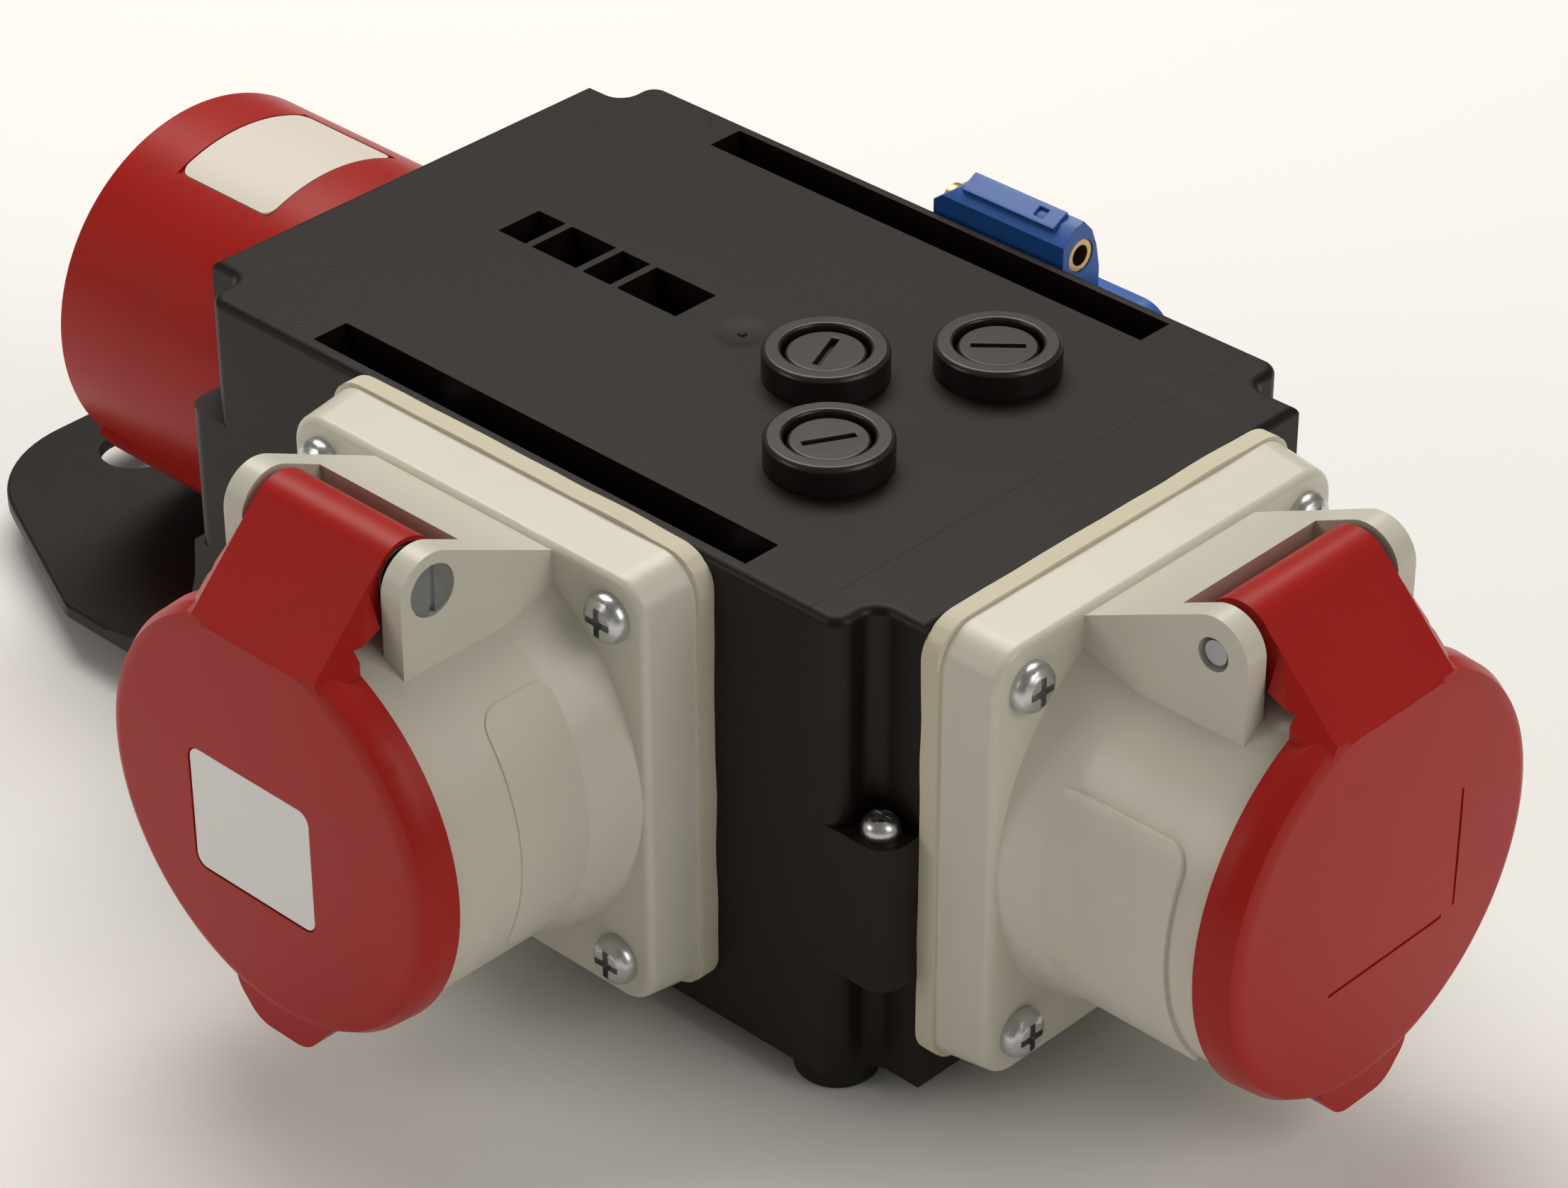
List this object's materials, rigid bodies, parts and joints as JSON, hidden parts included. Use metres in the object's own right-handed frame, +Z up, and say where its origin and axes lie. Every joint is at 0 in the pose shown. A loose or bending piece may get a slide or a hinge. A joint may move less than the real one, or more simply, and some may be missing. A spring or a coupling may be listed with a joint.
{
  "type": "portable power distribution box",
  "caption": "Portable power distributor: plastic box with an end inlet, hinged-lid industrial outlets, a domestic outlet, fuse holders in the top and a hanging plate.",
  "frame": {"origin": "centre of the housing's plan, on the surface that the feet stand on", "axes": "+X along the housing towards the end outlet, away from the inlet; -Y towards the long-side outlet; +Z up"},
  "size_m": [0.2834, 0.1637, 0.0941],
  "materials": {
    "housing_plastic": "fine grained dark brown-black moulding",
    "red_plastic": "smooth satin-gloss red moulding",
    "grey_plastic": "smooth light warm grey moulding",
    "blue_plastic": "smooth blue moulding",
    "insert_plastic": "black moulded insert",
    "fuse_plastic": "smooth black moulding",
    "cap_plastic": "smooth black moulding",
    "zinc_screws": "zinc plated",
    "hinge_steel": "zinc plated",
    "spring_steel": "dark spring wire",
    "contact_brass": "bright machined brass",
    "hinge_brass": "drawn brass tube",
    "foam_gasket": "cream closed-cell foam",
    "seal_rubber": "soft black seal",
    "foot_rubber": "matt black rubber",
    "white_label": "blank white satin label",
    "cream_label": "blank off-white satin label",
    "wire_cover": "flexible cable cover",
    "fuse_ceramic": "white glazed fuse body"
  },
  "bodies": {
    "housing": {"upper_shell": "housing_plastic", "lower_shell": "housing_plastic", "shell_seal": "seal_rubber", "housing_screws": "zinc_screws", "rubber_feet": "foot_rubber", "front_outlet_body": "grey_plastic", "front_flange_gasket": "foam_gasket", "front_flange_screws": "zinc_screws", "front_contact_insert": "insert_plastic", "front_contact_sleeves": "contact_brass", "front_hinge_pin": "hinge_steel", "front_lid_spring": "spring_steel", "right_outlet_body": "grey_plastic", "right_flange_gasket": "foam_gasket", "right_flange_screws": "zinc_screws", "right_contact_insert": "insert_plastic", "right_contact_sleeves": "contact_brass", "right_hinge_pin": "hinge_steel", "right_lid_spring": "spring_steel", "inlet_shroud": "red_plastic", "inlet_gasket": "seal_rubber", "inlet_insert": "insert_plastic", "inlet_pins": "contact_brass", "inlet_screws": "zinc_screws", "inlet_label": "cream_label", "blue_outlet_body": "blue_plastic", "blue_gasket": "foam_gasket", "blue_screws": "zinc_screws", "blue_contacts": "contact_brass", "blue_earth_clips": "contact_brass", "blue_hinge_tube": "hinge_brass", "blue_lid_spring": "spring_steel", "fuse_holder_1": "fuse_plastic", "fuse_holder_2": "fuse_plastic", "fuse_holder_3": "fuse_plastic", "fuse_nut_1": "fuse_plastic", "fuse_nut_2": "fuse_plastic", "fuse_nut_3": "fuse_plastic", "terminal_block": "insert_plastic", "internal_wires": "wire_cover"},
    "front_lid": {"front_lid": "red_plastic", "front_lid_seal": "seal_rubber", "front_lid_label": "white_label"},
    "right_lid": {"right_lid": "red_plastic", "right_lid_seal": "seal_rubber"},
    "blue_lid": {"blue_lid": "blue_plastic"},
    "fuse_carrier_1": {"fuse_link_1": "fuse_ceramic"},
    "fuse_cap_1": {"fuse_cap_1": "cap_plastic"},
    "fuse_carrier_2": {"fuse_link_2": "fuse_ceramic"},
    "fuse_cap_2": {"fuse_cap_2": "cap_plastic"},
    "fuse_carrier_3": {"fuse_link_3": "fuse_ceramic"},
    "fuse_cap_3": {"fuse_cap_3": "cap_plastic"}
  },
  "joints": [
    {"name": "front_lid_hinge", "type": "hinge", "parent": "housing", "child": "front_lid", "pos_m": [0.0032, -0.0835, 0.0881], "axis": [-1, 0, 0], "range_deg": [0, 105], "stiffness_Nm_per_rad": 0.02, "springref_deg": -34.38},
    {"name": "right_lid_hinge", "type": "hinge", "parent": "housing", "child": "right_lid", "pos_m": [0.1096, -0.0034, 0.0881], "axis": [0, -1, 0], "range_deg": [0, 105], "stiffness_Nm_per_rad": 0.02, "springref_deg": -34.38},
    {"name": "blue_lid_hinge", "type": "hinge", "parent": "housing", "child": "blue_lid", "pos_m": [0.008, 0.0531, 0.0851], "axis": [1, 0, 0], "range_deg": [0, 95], "stiffness_Nm_per_rad": 0.012, "springref_deg": -34.38},
    {"name": "fuse_draw_1", "type": "slide", "parent": "housing", "child": "fuse_carrier_1", "axis": [0, 0, 1], "range_m": [0, 0.028]},
    {"name": "fuse_turn_1", "type": "hinge", "parent": "fuse_carrier_1", "child": "fuse_cap_1", "pos_m": [0.0178, -0.0005, 0.0854], "axis": [0, 0, 1], "range_deg": [0, 90]},
    {"name": "fuse_draw_2", "type": "slide", "parent": "housing", "child": "fuse_carrier_2", "axis": [0, 0, 1], "range_m": [0, 0.028]},
    {"name": "fuse_turn_2", "type": "hinge", "parent": "fuse_carrier_2", "child": "fuse_cap_2", "pos_m": [0.0352, 0.0183, 0.0854], "axis": [0, 0, 1], "range_deg": [0, 90]},
    {"name": "fuse_draw_3", "type": "slide", "parent": "housing", "child": "fuse_carrier_3", "axis": [0, 0, 1], "range_m": [0, 0.028]},
    {"name": "fuse_turn_3", "type": "hinge", "parent": "fuse_carrier_3", "child": "fuse_cap_3", "pos_m": [0.0352, -0.0183, 0.0854], "axis": [0, 0, 1], "range_deg": [0, 90]}
  ]
}
